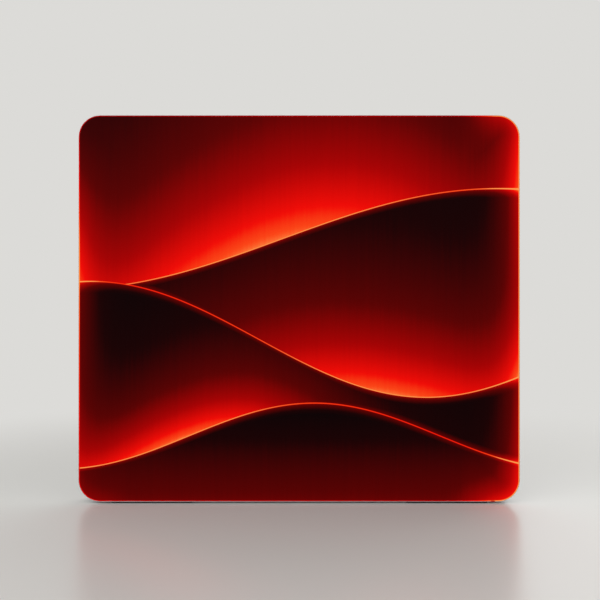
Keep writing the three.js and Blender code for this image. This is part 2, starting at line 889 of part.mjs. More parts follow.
// LED bars: one on each straight section, and one on each leg of the top and the bottom
const legEnd = wallWidth / 2 - cornerRadius - ledEndGap;
const spliceEnd = (straightRail + spliceLength) / 2 + ledEndGap;
const nutPlateEnd = footOffset + nutPlateLength / 2 + ledEndGap;
const centreBar = straightRail - spliceLength - 2 * ledEndGap;
const postBar = straightPost - spliceLength - 2 * ledEndGap;
for (const [side, start] of [
  ['bottom', nutPlateEnd],
  ['top', spliceEnd],
]) {
  add(group[side], `led_bar_${side}_centre`, ledBar(centreBar), whitePlastic);
  for (const end of ['left', 'right']) {
    const alongX = (end === 'right') === (side === 'bottom') ? 1 : -1;
    const bar = ledBar(legEnd - start);
    add(group[side], `led_bar_${side}_${end}`, bar, whitePlastic, [
      (alongX * (start + legEnd)) / 2,
      0,
      0,
    ]);
  }
}
add(group.left, 'led_bar_left', ledBar(postBar), whitePlastic);
add(group.right, 'led_bar_right', ledBar(postBar), whitePlastic);

// Centre post
add(wall, 'centre_post', centrePost(), anodised, [0, 0, wallMiddle]);
add(group.bottom, 'centre_post_shoe_bottom', postShoe(), blackPlastic);
add(group.top, 'centre_post_shoe_top', postShoe(), blackPlastic);

// Electrics, on the right post
const electrics = new THREE.Group();
electrics.position.x = inletHeight - wallHeight / 2;
group.right.add(electrics);
add(electrics, 'mains_inlet', mainsInlet(), blackPlastic);
add(electrics, 'fuse_drawer', fuseDrawer(), blackPlastic, [fuseMiddle, 0, 0]);
add(electrics, 'mains_fuse', mainsFuse(), zincSteel, [fuseMiddle + fuseRest, 0, fuseDepth]);
const rockerSwitch = add(electrics, 'rocker_switch', rocker(), blackPlastic, [
  rockerMiddleUp,
  0,
  rockerPivot,
]);
rockerSwitch.rotation.x = rockerTilt;
add(electrics, 'led_driver', ledDriver(), anodised);
add(electrics, 'driver_bracket', driverBracket(), zincSteel);
add(electrics, 'mains_lead', mainsLead(), cableSheath);
add(electrics, 'dc_feed_lead', feedLead(), cableSheath);
add(wall, 'dc_bus_cable', busCable(), cableSheath, [0, 0, wallMiddle]);

// Fabric faces
for (const [name, face, sign, material] of [
  ['front', 'front_graphic', -1, printedFabric],
  ['rear', 'rear_liner', 1, blockOutFabric],
]) {
  add(wall, face, fabricFace(sign), material, [0, 0, wallMiddle]);
  add(wall, `${name}_edge_strip`, edgeStrip(sign), silicone, [0, 0, wallMiddle]);
  add(group.bottom, `${name}_pull_tab`, pullTab(sign), material, [
    wallWidth / 2 - tabFromEnd,
    0,
    0,
  ]);
}

// Feet
for (const [name, sign] of [
  ['left', -1],
  ['right', 1],
]) {
  const foot = new THREE.Group();
  foot.position.x = sign * footOffset;
  group.bottom.add(foot);
  add(foot, `${name}_foot_plate`, footPlate(), darkSteel);
  add(foot, `${name}_foot_sole`, footSole(), rubber);
  add(foot, `${name}_foot_bearing`, footBearing(), nylon);
  add(foot, `${name}_foot_bolt`, footBolt(), zincSteel);
  add(foot, `${name}_foot_nut_plate`, footNutPlate(), zincSteel);
}

export default wall;
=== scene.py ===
import json
from math import cos, exp, hypot, pi, radians, sin, tau

import bmesh
import bpy
from bpy.props import FloatProperty, FloatVectorProperty, PointerProperty
from mathutils import Matrix, Vector


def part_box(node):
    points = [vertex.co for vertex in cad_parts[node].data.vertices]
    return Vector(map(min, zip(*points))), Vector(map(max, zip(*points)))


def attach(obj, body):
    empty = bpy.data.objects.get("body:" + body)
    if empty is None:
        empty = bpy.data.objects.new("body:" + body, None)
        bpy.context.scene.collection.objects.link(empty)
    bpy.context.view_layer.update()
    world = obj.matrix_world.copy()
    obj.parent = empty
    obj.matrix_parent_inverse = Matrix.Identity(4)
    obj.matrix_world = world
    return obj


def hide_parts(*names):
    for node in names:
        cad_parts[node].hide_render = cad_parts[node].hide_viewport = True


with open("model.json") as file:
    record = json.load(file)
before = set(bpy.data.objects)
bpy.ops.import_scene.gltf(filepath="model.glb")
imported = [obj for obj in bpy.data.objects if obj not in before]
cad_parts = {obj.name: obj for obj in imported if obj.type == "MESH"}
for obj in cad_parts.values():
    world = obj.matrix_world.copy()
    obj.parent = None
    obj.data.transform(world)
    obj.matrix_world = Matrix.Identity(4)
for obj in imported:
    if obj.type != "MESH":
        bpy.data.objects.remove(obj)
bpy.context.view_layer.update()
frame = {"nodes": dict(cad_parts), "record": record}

bl_info = {
    "name": "Lightbox display wall",
    "version": (1, 0, 0),
    "blender": (4, 5, 0),
    "location": "3D View > Sidebar > Lightbox wall",
    "description": "Dresses a lightbox display wall in fabric, aluminium, moulded plastic and steel",
    "category": "Object",
}

MM = 0.001
NODES = frame["nodes"]
JOINTS = frame["record"]["behaviour"]["joints"]
FRONT_SIDE = -1
REAR_SIDE = 1
WALL_LOW = Vector((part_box("left_post")[0].x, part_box("top_rail")[0].y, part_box("bottom_rail")[0].z))
WALL_HIGH = Vector((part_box("right_post")[1].x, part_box("top_rail")[1].y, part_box("top_rail")[1].z))
WALL_MIDDLE = (WALL_LOW + WALL_HIGH) / 2
WALL_HALF = (WALL_HIGH - WALL_LOW) / 2
FACE_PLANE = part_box("front_graphic")[0].y


def linear(code):
    """An sRGB hex colour as the linear numbers that a shader takes."""
    values = [int(code[i : i + 2], 16) / 255 for i in (1, 3, 5)]
    return [v / 12.92 if v <= 0.04045 else ((v + 0.055) / 1.055) ** 2.4 for v in values]


def colour(name, description, code):
    return FloatVectorProperty(
        name=name, description=description, default=linear(code), subtype="COLOR", size=3, min=0, max=1
    )


def length(name, description, millimetres):
    return FloatProperty(
        name=name,
        description=description,
        default=millimetres * MM,
        min=0,
        subtype="DISTANCE",
        unit="LENGTH",
    )


class FabricSettings(bpy.types.PropertyGroup):
    corner_radius: length("Corner radius", "Of the wall's outline", 120)
    fold: length("Edge fold", "Radius of the cloth where it turns into the groove", 1)
    rim: length("Rim", "Width of the bright line along the edge", 6.2)
    bleed: length("Bleed", "How far the lamps' light spreads inwards from the rim", 110)
    knit: length("Knit", "Spacing of the knit's ribs", 3.6)
    puckers: length("Puckers", "Height of the pull marks of the liner", 3.4)
    face_puckers: length("Face puckers", "Height of the pull marks of the printed face", 0.3)
    glow: FloatProperty(
        name="Glow",
        description="Share of the print's colour that is lit from behind",
        default=0.85,
        min=0,
        max=1,
        subtype="FACTOR",
    )
    black: colour("Print black", "Unlit areas of the print", "#040102")
    ember: colour("Print ember", "Nearly unlit", "#1a0001")
    deep: colour("Print deep red", "Dim areas", "#5a0000")
    mid: colour("Print red", "Middle tone", "#a80001")
    bright: colour("Print bright red", "Brightest areas of the glow", "#f60a04")
    flame: colour("Print flame", "Next to a crest line", "#ff4a18")
    crest: colour("Print crest line", "Fine lines and the brightest rim", "#ffa050")
    liner: colour("Liner", "Charcoal block-out cloth", "#2c2c2f")
    thread: colour("Thread", "Stitches of the pull tabs", "#8c8c90")
    tab: colour("Tab", "Unlit cloth of the front pull tab", "#c01006")


class HardwareSettings(bpy.types.PropertyGroup):
    edge: length("Edge", "Radius of an extruded or machined edge", 0.35)
    anodised: colour("Anodised aluminium", "Satin natural", "#b8babe")
    rubbed: colour("Rubbed aluminium", "Edges of the sections", "#dcdde0")
    zinc: colour("Zinc plate", "Bright, slightly blue", "#c3c8cf")
    # Painted shade: the key sockets are coloured dark for the shade that falls in them
    recess: colour("Zinc in a recess", "Key sockets", "#54575b")
    scuff: colour("Scuffed coat", "Edges of the foot plates", "#4b4b4e")
    polished: colour("Rubbed plastic", "Edges of the black mouldings", "#2e2e31")
    coat: colour("Powder coat", "Fine-textured black", "#1b1b1d")
    nickel: colour("Nickel plate", "Pins and fuse caps", "#cfc9bd")
    housing: colour("Black housing", "Moulded inlet and shoes", "#161618")
    nylon: colour("Nylon", "Foot bearing", "#222225")
    rubber: colour("Rubber", "Foot sole", "#141414")
    sheath: colour("Cable sheath", "Flexible PVC", "#121214")
    white: colour("White housing", "LED bars", "#e8e8e2")
    lens: colour("Lens", "Clear acrylic over a lit diode", "#fff4e6")
    # Painted glow: the strip's orange stands in for the light of the lit cloth that falls on it
    silicone: colour("Silicone", "Edge strip, lit through the cloth", "#e8742e")
    mark: colour("Mark", "Pad-printed marks of the switch", "#e4e4e0")


class StageSettings(bpy.types.PropertyGroup):
    floor: colour("Floor", "Pale floor and background", "#dcdbd8")
    distance: length("Distance", "Camera to printed face", 4600)
    view_width: length("View", "Width seen at the printed face", 3313)
    aside: length("Aside", "Camera to the right of the wall's middle", 4.7)
    above: length("Above", "Camera above the wall's middle", 46.4)


def fabric():
    return bpy.context.scene.wall_fabric


def hardware():
    return bpy.context.scene.wall_hardware


def stage():
    return bpy.context.scene.wall_stage


# Meshes

ROUND_STEPS = 48
JOIN_WITHIN = 0.01 * MM
SHARP_FROM = radians(30)
EASED_FROM = radians(40)
EASE_SEGMENTS = 2
FLAT_WITHIN = radians(0.5)
FINISHES = {}


def finish(maker):
    """The material that a function makes, made once."""
    if maker not in FINISHES:
        FINISHES[maker] = maker()
    return FINISHES[maker]


def mesh_from(name, build):
    """A mesh that build makes in a bmesh, with its faces turned outwards."""
    bm = bmesh.new()
    build(bm)
    bm.normal_update()
    bmesh.ops.recalc_face_normals(bm, faces=bm.faces)
    mesh = bpy.data.meshes.new(name)
    bm.to_mesh(mesh)
    bm.free()
    return mesh


def new_piece(name, body, maker, build):
    """A smooth piece with sharp edges that build makes in a bmesh, and that rides on a body."""
    mesh = mesh_from(name, build)
    mesh.shade_smooth()
    mesh.set_sharp_from_angle(angle=SHARP_FROM)
    mesh.materials.append(finish(maker))
    piece = bpy.data.objects.new(name, mesh)
    bpy.context.scene.collection.objects.link(piece)
    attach(piece, body)
    return piece


def ease_edges(piece, width, worn=None):
    """Rounds a piece's sharp edges a little, and gives the rounding its own worn finish."""
    bevel = piece.modifiers.new("edges", "BEVEL")
    bevel.width = width
    bevel.segments = EASE_SEGMENTS
    bevel.limit_method = "ANGLE"
    bevel.angle_limit = EASED_FROM
    bevel.harden_normals = True
    if worn:
        piece.data.materials.append(finish(worn))
        bevel.material = len(piece.data.materials) - 1


def finish_node(node, maker, edge=0.0, worn=None):
    """Gives a CAD node its material, and by modifiers whole flat faces, eased edges and smooth curves.

    A node comes as loose triangles, so they are joined first.
    """
    piece = NODES[node]
    piece.data.materials.clear()
    piece.data.materials.append(finish(maker))
    piece.data.shade_smooth()
    piece.modifiers.new("joined triangles", "WELD").merge_threshold = JOIN_WITHIN
    flats = piece.modifiers.new("flat faces", "DECIMATE")
    flats.decimate_type = "DISSOLVE"
    flats.angle_limit = FLAT_WITHIN
    flats.delimit = {"MATERIAL"}
    if edge:
        ease_edges(piece, edge, worn)
    piece.modifiers.new("shading", "WEIGHTED_NORMAL").keep_sharp = True
    return piece


def paint_faces(piece, maker, wanted):
    """Gives a second material to the faces of a piece whose middle is wanted."""
    piece.data.materials.append(finish(maker))
    index = len(piece.data.materials) - 1
    for face in piece.data.polygons:
        if wanted(face.center):
            face.material_index = index


def ring(bm, radius, height, steps, place):
    """A ring of points about an axis, or one point if the radius is nothing; place moves the result.

    The radius is a length or a function of the angle, so that a recess need not be round.
    """
    verts = []
    for i in range(steps if radius else 1):
        angle = tau * i / steps
        reach = radius(angle) if callable(radius) else radius
        spot = Vector((reach * cos(angle), reach * sin(angle), height))
        verts.append(bm.verts.new(place @ spot))
    return verts


def ring_faces(bm, near, far):
    """Faces between two rings, one of which may be a single point."""
    steps = max(len(near), len(far))
    for i in range(steps):
        j = (i + 1) % steps
        corners = (near[i % len(near)], near[j % len(near)], far[j % len(far)], far[i % len(far)])
        bm.faces.new(tuple(dict.fromkeys(corners)))


def turned(bm, profile, steps, place, closed=False):
    """Carries (radius, height) points about an axis; a closed profile joins its last point to its first."""
    rings = [ring(bm, radius, height, steps, place) for radius, height in profile]
    rings += rings[:1] if closed else []
    for near, far in zip(rings, rings[1:]):
        ring_faces(bm, near, far)


def block(bm, low, high, place=Matrix()):
    """A box between two corners; place moves the result."""
    low, high = Vector(low), Vector(high)
    for vert in bmesh.ops.create_cube(bm, size=1)["verts"]:
        vert.co = place @ ((low + high) / 2 + (high - low) * vert.co)


def facing(spot, normal, up=Vector((0, 0, 1))):
    """A place whose Z axis is a normal and whose Y axis is as near to up as it can be."""
    normal = Vector(normal).normalized()
    across = up.cross(normal).normalized()
    axes = Matrix((across, normal.cross(across), normal)).transposed()
    return Matrix.Translation(Vector(spot)) @ axes.to_4x4()


# A countersunk screw in shares of its head's radius: (radius, height) from the tip of its shank to the rim
# of its recess, (arm, half width, height) of the cross at its mouth and floor, and the floor's middle
SCREW_SHARES = ((0, -0.9), (0.5, -0.9), (1, -0.1), (0.97, 0.03), (0.8, 0.08))
RECESS_SHARES = ((0.58, 0.13, 0.1), (0.3, 0.09, -0.45))
RECESS_FLOOR_SHARE = -0.5


def cross_recess(arm, half_width):
    """Outline of a cross recess as a radius for each angle."""

    def radius(angle):
        off_arm = abs((angle + pi / 4) % (pi / 2) - pi / 4)
        if off_arm == 0:
            return arm
        return min(arm / cos(off_arm), half_width / sin(off_arm))

    return radius


def screw(name, spot, normal, radius):
    """A countersunk screw with a cross recess, its head a little proud of what it holds."""
    profile = [(radius * share, radius * height) for share, height in SCREW_SHARES]
    for arm, half_width, height in RECESS_SHARES:
        profile.append((cross_recess(radius * arm, radius * half_width), radius * height))
    profile.append((0, radius * RECESS_FLOOR_SHARE))
    place = facing(spot, normal)

    def build(bm):
        turned(bm, profile, ROUND_STEPS, place)

    new_piece(name, "frame", zinc_plate, build)


# Materials


def material(name):
    """A new node material, its tree, its Principled shader and the place on the object."""
    made = bpy.data.materials.new(name)
    made.use_nodes = True
    tree = made.node_tree
    return made, tree, tree.nodes["Principled BSDF"], add(tree, "TexCoord").outputs["Object"]


def connect(tree, node, inputs):
    """Sets or links a node's sockets, by name or in order. A node stands for its first output in use."""
    for socket, value in inputs.items() if isinstance(inputs, dict) else enumerate(inputs):
        if isinstance(value, bpy.types.Node):
            value = next(output for output in value.outputs if output.enabled)
        if isinstance(value, bpy.types.NodeSocket):
            tree.links.new(value, node.inputs[socket])
        else:
            node.inputs[socket].default_value = value


def add(tree, kind, inputs=(), operation=None, **settings):
    """Adds a shader node. A MapRange takes a value, the range that it is in and the range it goes to."""
    node = tree.nodes.new("ShaderNode" + kind)
    if operation:
        node.operation = operation
    for name, value in settings.items():
        setattr(node, name, value)
    connect(tree, node, inputs)
    return node


def rgba(value):
    return (*value, 1)


def inward_distance(tree, place):
    """How far a place is inside the wall's rounded outline, seen from the front."""
    radius = fabric().corner_radius
    reach = (WALL_HALF.x - radius, 0, WALL_HALF.z - radius)
    centred = add(tree, "VectorMath", (place, WALL_MIDDLE), "SUBTRACT")
    flat = add(tree, "VectorMath", (centred, (1, 0, 1)), "MULTIPLY")
    folded = add(tree, "VectorMath", (flat,), "ABSOLUTE")
    past = add(tree, "VectorMath", (folded, reach), "SUBTRACT")
    outside = add(tree, "VectorMath", (past, (0, 0, 0)), "MAXIMUM")
    round_part = add(tree, "VectorMath", (outside,), "LENGTH")
    parts = add(tree, "SeparateXYZ", (past,))
    nearest = add(tree, "Math", (parts.outputs["X"], parts.outputs["Z"]), "MAXIMUM")
    straight = add(tree, "Math", (nearest, 0), "MINIMUM")
    beyond = add(tree, "Math", (round_part, straight), "ADD")
    return add(tree, "Math", (radius, beyond), "SUBTRACT")


RIB_SHARE = 0.68  # of a knit's height; its courses have the rest
RIB_UNEVENNESS = (0.9, 2, 3)  # distortion, its detail and the scale of that
WAVE_BAND = pi / 10  # from band to band of a wave texture at a scale of 1
BUMP_SHARE = 0.25  # depth of a pattern's bump to its pitch or grain
STREAK_WIDTH = 14 * MM
STREAK_RATIO = 0.03


def knit_bump(tree, place, pitch, strength):
    """Upright ribs with lower courses across them, as a warp knit has. The real ones are 0.6 mm apart, too
    fine to show, so they are drawn coarser."""
    height = 0
    for direction, share in (("X", RIB_SHARE), ("Z", 1 - RIB_SHARE)):
        inputs = (place, WAVE_BAND / pitch, *RIB_UNEVENNESS)
        wave = add(tree, "TexWave", inputs, wave_type="BANDS", bands_direction=direction)
        height = add(tree, "Math", (wave.outputs["Fac"], share, height), "MULTIPLY_ADD")
    bump = add(tree, "Bump", {"Height": height, "Strength": strength, "Distance": pitch * BUMP_SHARE})
    return height, bump


def wale_streaks(tree, place):
    """Upright streaks of slightly thicker and thinner yarn, as wide as several ribs."""
    stretched = add(tree, "VectorMath", (place, (1, 1, STREAK_RATIO)), "MULTIPLY")
    return add(tree, "TexNoise", {"Vector": stretched, "Scale": 1 / STREAK_WIDTH, "Detail": 3})


# Each crest of the print: middle height, swing, waves per metre, phase, how far its glow reaches, and where
# along the wall the glow is strongest and how wide. Heights and places are shares of the wall's half height
# and half width.
CREST_SHARES = (
    dict(height=0.36, swing=0.26, waves=0.21, phase=0.02, glow=0.72, peak=-0.15, spread=1.0),
    dict(height=-0.16, swing=0.30, waves=0.27, phase=0.56, glow=0.48, peak=0.42, spread=0.66),
    dict(height=-0.66, swing=0.17, waves=0.36, phase=0.22, glow=0.3, peak=-0.55, spread=0.6),
)
CREST_LINE = 4 * MM
CREST_SOFTNESS = 2.5 * MM
CREST_HALO = 110 * MM
HALO_SHARE = 0.55
HALO_POWER = 3
LINE_LEAST = 0.82
LINE_ADDS = 0.2
GLOW_PEAK = 0.95
GLOW_FLOOR = 0.13
FOOT_GLOW = 0.4


def crest_light(tree, across, up, crest):
    """Height of a spot above a crest's line, the glow that stands on it, and the light of the line."""
    turns, phase = tau * crest["waves"], tau * crest["phase"]
    angle = add(tree, "Math", (across, turns, phase), "MULTIPLY_ADD")
    wave = add(tree, "Math", (angle,), "SINE")
    swing, middle = crest["swing"] * WALL_HALF.z, crest["height"] * WALL_HALF.z
    line = add(tree, "Math", (wave, swing, middle), "MULTIPLY_ADD")
    above = add(tree, "Math", (up, line), "SUBTRACT")
    falling = add(tree, "Math", (above, -1 / (crest["glow"] * WALL_HALF.z)), "MULTIPLY")
    fade = add(tree, "Math", (falling,), "EXPONENT")

    width, peak = crest["spread"] * WALL_HALF.x, crest["peak"] / crest["spread"]
    from_peak = add(tree, "Math", (across, 1 / width, -peak), "MULTIPLY_ADD")
    squared = add(tree, "Math", (from_peak, 2), "POWER")
    inverse = add(tree, "Math", (squared, -1), "MULTIPLY")
    bell = add(tree, "Math", (inverse,), "EXPONENT")
    spread = add(tree, "Math", (bell, GLOW_PEAK - GLOW_FLOOR, GLOW_FLOOR), "MULTIPLY_ADD")
    glow = add(tree, "Math", (fade, spread), "MULTIPLY", use_clamp=True)

    near = add(tree, "Math", (above,), "ABSOLUTE")
    nearness = add(tree, "MapRange", (near, CREST_HALO, 0))
    sharpened = add(tree, "Math", (nearness, HALO_POWER), "POWER")
    halo = add(tree, "Math", (sharpened, HALO_SHARE), "MULTIPLY")
    stroke = add(tree, "MapRange", (near, CREST_LINE + CREST_SOFTNESS, CREST_LINE / 2))
    shape = add(tree, "Math", (halo, stroke), "MAXIMUM")
    lit = add(tree, "Math", (bell, LINE_ADDS, LINE_LEAST), "MULTIPLY_ADD", use_clamp=True)
    return above, glow, add(tree, "Math", (shape, lit), "MULTIPLY")


def below_crest(tree, above, heat, layer, light):
    """Lays the next layer over the heat below a crest, with the crest's light on its upper edge."""
    covered = add(tree, "MapRange", (above, CREST_SOFTNESS, -CREST_SOFTNESS))
    lit_layer = add(tree, "Math", (layer, light), "MAXIMUM")
    return add(tree, "Mix", {0: covered, 2: heat, 3: lit_layer}, data_type="FLOAT")


def print_heat(tree, place):
    """How brightly each spot of the print glows, from 0 for black to 1 for the crest lines."""
    centred = add(tree, "VectorMath", (place, WALL_MIDDLE), "SUBTRACT")
    parts = add(tree, "SeparateXYZ", (centred,))
    across, up = parts.outputs["X"], parts.outputs["Z"]
    heat = None
    for crest in CREST_SHARES:
        next_above, glow, next_light = crest_light(tree, across, up, crest)
        heat = below_crest(tree, above, heat, glow, light) if heat else glow
        above, light = next_above, next_light
        heat = add(tree, "Math", (heat, light), "MAXIMUM")
    foot = add(tree, "MapRange", (up, -WALL_HALF.z / 2, -WALL_HALF.z, 0, FOOT_GLOW))
    return below_crest(tree, above, heat, foot, light)


# Where the rim is brightest: place on the face in shares of its half width and half height, reach up and
# down in metres, and how much it adds. Along the rails a lamp reaches less far, by the rail share.
RIM_LAMPS = (
    dict(across=1, up=0.85, reach=1.1, adds=0.42),
    dict(across=1, up=0, reach=1.5, adds=0.3),
    dict(across=1, up=-0.9, reach=1.2, adds=0.36),
    dict(across=-1, up=0.12, reach=1.2, adds=0.36),
    dict(across=-1, up=-0.8, reach=0.9, adds=0.1),
)
RAIL_SHARE = 0.36
RIM_LEAST = 0.52
RIM_FADED = 1.5  # the rim has faded out at this many of its widths
RIM_PRINT = 0.2  # share of the print's heat that the rim takes on
BLEED_SHARE = 1.1
# The heat at which each colour of the print stands
PRINT_HEATS = dict(black=0, ember=0.15, deep=0.37, mid=0.58, bright=0.8, flame=0.91, crest=1)
PRINT_BUMP = 0.25
YARN_ADDS = (0.05, -0.042)  # where a rib stands, and everywhere
STREAK_ADDS = 0.03
CLOTH_ROUGHNESS = 0.85
INK_IOR = 1.12


def rim_brightness(tree, place):
    """How brightly the rim glows round the wall, as the lamps behind it fall on the edge."""
    total = RIM_LEAST
    widened = add(tree, "VectorMath", (place, (1 / RAIL_SHARE, 1, 1)), "MULTIPLY")
    for lamp in RIM_LAMPS:
        across = (WALL_MIDDLE.x + lamp["across"] * WALL_HALF.x) / RAIL_SHARE
        middle = (across, FACE_PLANE, WALL_MIDDLE.z + lamp["up"] * WALL_HALF.z)
        away = add(tree, "VectorMath", (widened, middle), "DISTANCE")
        near = add(tree, "MapRange", (away, lamp["reach"], 0), interpolation_type="SMOOTHSTEP")
        total = add(tree, "Math", (near, lamp["adds"], total), "MULTIPLY_ADD")
    return total


def printed_knit():
    """Dye-printed polyester knit over lamps: saturated colour that lights itself, and dense black."""
    made, tree, shader, place = material("dye-printed polyester knit, backlit")
    cloth = fabric()
    inward = inward_distance(tree, place)
    brightness = rim_brightness(tree, place)
    falling = add(tree, "Math", (inward, -1 / cloth.bleed), "MULTIPLY")
    fade = add(tree, "Math", (falling,), "EXPONENT")
    extra = add(tree, "Math", (brightness, BLEED_SHARE, -BLEED_SHARE * RIM_LEAST), "MULTIPLY_ADD")
    bled = add(tree, "Math", (fade, extra, print_heat(tree, place)), "MULTIPLY_ADD")
    rim = add(tree, "MapRange", (inward, cloth.rim * RIM_FADED, cloth.rim))
    rim_heat = add(tree, "Math", (bled, RIM_PRINT, brightness), "MULTIPLY_ADD", use_clamp=True)
    edged = add(tree, "Mix", {0: rim, 2: bled, 3: rim_heat}, data_type="FLOAT")

    height, normal = knit_bump(tree, place, cloth.knit, PRINT_BUMP)
    yarn = add(tree, "Math", (height, *YARN_ADDS), "MULTIPLY_ADD")
    uneven = add(tree, "Math", (wale_streaks(tree, place), STREAK_ADDS, yarn), "MULTIPLY_ADD")
    heat = add(tree, "Math", (edged, uneven), "ADD", use_clamp=True)
    lit = add(tree, "ValToRGB", {"Fac": heat})
    stops = lit.color_ramp.elements
    while len(stops) < len(PRINT_HEATS):
        stops.new(1)
    for stop, (name, position) in zip(stops, PRINT_HEATS.items()):
        stop.position = position
        stop.color = rgba(getattr(cloth, name))
    unlit = add(tree, "Mix", {0: 1 - cloth.glow, 6: rgba((0, 0, 0)), 7: lit}, data_type="RGBA")
    finishes = {"Base Color": unlit, "Emission Color": lit, "Emission Strength": cloth.glow}
    connect(tree, shader, {**finishes, "Roughness": CLOTH_ROUGHNESS, "IOR": INK_IOR, "Normal": normal})
    return made


# What adds to the tone of the block-out cloth: clouds and streaks with a base, times ribs with a base
CLOUD_SCALE = 1.7
CLOUD_ADDS = (0.3, 0.6)
LINER_STREAK_ADDS = 0.5
LINER_RIB_ADDS = (0.45, 0.75)
LINER_BUMP = 0.6
LINER_GLOSS = {"Roughness": 0.55, "Sheen Weight": 0.3, "Sheen Roughness": 0.4}
TAB_RIB_ADDS = (0.6, 0.6)
TAB_BUMP = 0.5


def block_out_knit():
    """Opaque knit with a coated back: charcoal, ribbed and streaked, with a soft sheen in its puckers."""
    made, tree, shader, place = material("block-out knit, charcoal")
    height, normal = knit_bump(tree, place, fabric().knit, LINER_BUMP)
    clouds = add(tree, "TexNoise", {"Vector": place, "Scale": CLOUD_SCALE, "Detail": 3})
    shade = add(tree, "Math", (clouds, *CLOUD_ADDS), "MULTIPLY_ADD")
    streaks = wale_streaks(tree, place)
    streaked = add(tree, "Math", (streaks, LINER_STREAK_ADDS, shade), "MULTIPLY_ADD")
    rib = add(tree, "Math", (height, *LINER_RIB_ADDS), "MULTIPLY_ADD")
    both = add(tree, "Math", (streaked, rib), "MULTIPLY")
    tinted = add(tree, "VectorMath", {0: fabric().liner, "Scale": both}, "SCALE")
    connect(tree, shader, {"Base Color": tinted, **LINER_GLOSS, "Normal": normal})
    return made


def unlit_knit():
    """The printed knit where no lamp is behind it: plain matt red."""
    made, tree, shader, place = material("dye-printed polyester knit, unlit")
    height, normal = knit_bump(tree, place, fabric().knit / 2, TAB_BUMP)
    rib = add(tree, "Math", (height, *TAB_RIB_ADDS), "MULTIPLY_ADD")
    tinted = add(tree, "VectorMath", {0: fabric().tab, "Scale": rib}, "SCALE")
    connect(tree, shader, {"Base Color": tinted, "Roughness": CLOTH_ROUGHNESS, "Normal": normal})
    return made


DRAWN_LINES = 0.7 / MM  # lines across a section, in a metre
DRAWN_STRETCH = 0.01  # along a section
DRAWN_BUMP = {"Strength": 0.05, "Distance": 0.2 * MM}
METAL_CLOUDS = 9  # in a metre
METAL_NOISE = (0.6, 1.4)  # lines and clouds together
METAL_ROUGHNESS = (0.38, 0.5)
METAL_TONE = (0.86, 1.06)


def anodised_aluminium():
    """Extruded and etched before anodising: satin grey with faint lines drawn along each section."""
    made, tree, shader, place = material("anodised aluminium, satin extruded")
    parts = add(tree, "SeparateXYZ", (place,))
    along = add(tree, "Math", (parts.outputs["X"], parts.outputs["Z"]), "ADD")
    slow = add(tree, "Math", (along, DRAWN_STRETCH), "MULTIPLY")
    section = add(tree, "CombineXYZ", (inward_distance(tree, place), parts.outputs["Y"], slow))
    lines = add(tree, "TexNoise", {"Vector": section, "Scale": DRAWN_LINES, "Detail": 3})
    clouds = add(tree, "TexNoise", {"Vector": place, "Scale": METAL_CLOUDS, "Detail": 4})
    mixed = add(tree, "Math", (lines, clouds), "ADD")
    rough = add(tree, "MapRange", (mixed, *METAL_NOISE, *METAL_ROUGHNESS))
    tone = add(tree, "MapRange", (mixed, *METAL_NOISE, *METAL_TONE))
    tinted = add(tree, "VectorMath", {0: hardware().anodised, "Scale": tone}, "SCALE")
    bump = add(tree, "Bump", {"Height": lines, **DRAWN_BUMP})
    connect(tree, shader, {"Base Color": tinted, "Metallic": 1, "Roughness": rough, "Normal": bump})
    return made


BROAD_RATIO = 0.05  # scale of the drift in tone to that of the grain
GLOSS_SHARES = (0.3, 0.85)  # of the roughness: what the grain adds, and what is everywhere


def grained(name, value, grain, strength, roughness, metallic=0, drift=0.12, also=()):
    """A surface with an even grain of a real size, a slight drift in tone and gloss, and any other inputs."""
    made, tree, shader, place = material(name)
    fine = add(tree, "TexNoise", {"Vector": place, "Scale": 1 / grain, "Detail": 2})
    broad = add(tree, "TexNoise", {"Vector": place, "Scale": BROAD_RATIO / grain, "Detail": 3})
    shade = add(tree, "Math", (broad, drift, 1 - drift / 2), "MULTIPLY_ADD")
    tinted = add(tree, "VectorMath", {0: value, "Scale": shade}, "SCALE")
    adds, everywhere = (roughness * share for share in GLOSS_SHARES)
    gloss = add(tree, "Math", (fine, adds, everywhere), "MULTIPLY_ADD")
    bump = add(tree, "Bump", {"Height": fine, "Strength": strength, "Distance": grain * BUMP_SHARE})
    connect(tree, shader, {"Base Color": tinted, "Metallic": metallic, "Roughness": gloss, "Normal": bump})
    connect(tree, shader, dict(also))
    return made


def zinc_plate():
    """Electroplated zinc: bright, cool grey, with a soft spangle."""
    return grained("zinc-plated steel, bright", hardware().zinc, 1.6 * MM, 0.05, 0.3, metallic=1, drift=0.2)


def zinc_with_painted_shade():
    """Zinc in a recess with painted shade: dark and matt, so that the recess reads."""
    return grained("zinc-plated steel, painted recess shade", hardware().recess, 1.0 * MM, 0.1, 0.55, metallic=1)


def nickel_plate():
    """Plated contact metal: warm, bright and smooth."""
    return grained("nickel-plated brass", hardware().nickel, 1.2 * MM, 0.02, 0.22, metallic=1)


def rubbed_aluminium():
    """Extruded edge where hands and transport bags have worn the oxide: brighter and smoother."""
    return grained("anodised aluminium, rubbed edge", hardware().rubbed, 1.5 * MM, 0.04, 0.3, metallic=1)


def powder_coat():
    """Baked powder paint: black with an orange-peel texture of 0.8 mm, drawn at 1.4 mm to show."""
    return grained("powder-coated steel, fine texture", hardware().coat, 1.4 * MM, 0.5, 0.5, drift=0.25)


def rubbed_coat():
    """Powder paint polished and greyed on its edge by shoes and floors."""
    return grained("powder-coated steel, rubbed edge", hardware().scuff, 1.5 * MM, 0.15, 0.42, drift=0.5)


def moulded_housing():
    """Injection-moulded and spark-eroded: an even matt grain of about 0.4 mm."""
    return grained("moulded polyamide, fine grain", hardware().housing, 0.4 * MM, 0.25, 0.5)


def polished_housing():
    """Moulded edge rubbed smooth: the grain is gone and it looks a little lighter."""
    return grained("moulded polyamide, rubbed edge", hardware().polished, 1.5 * MM, 0.04, 0.34, drift=0.3)


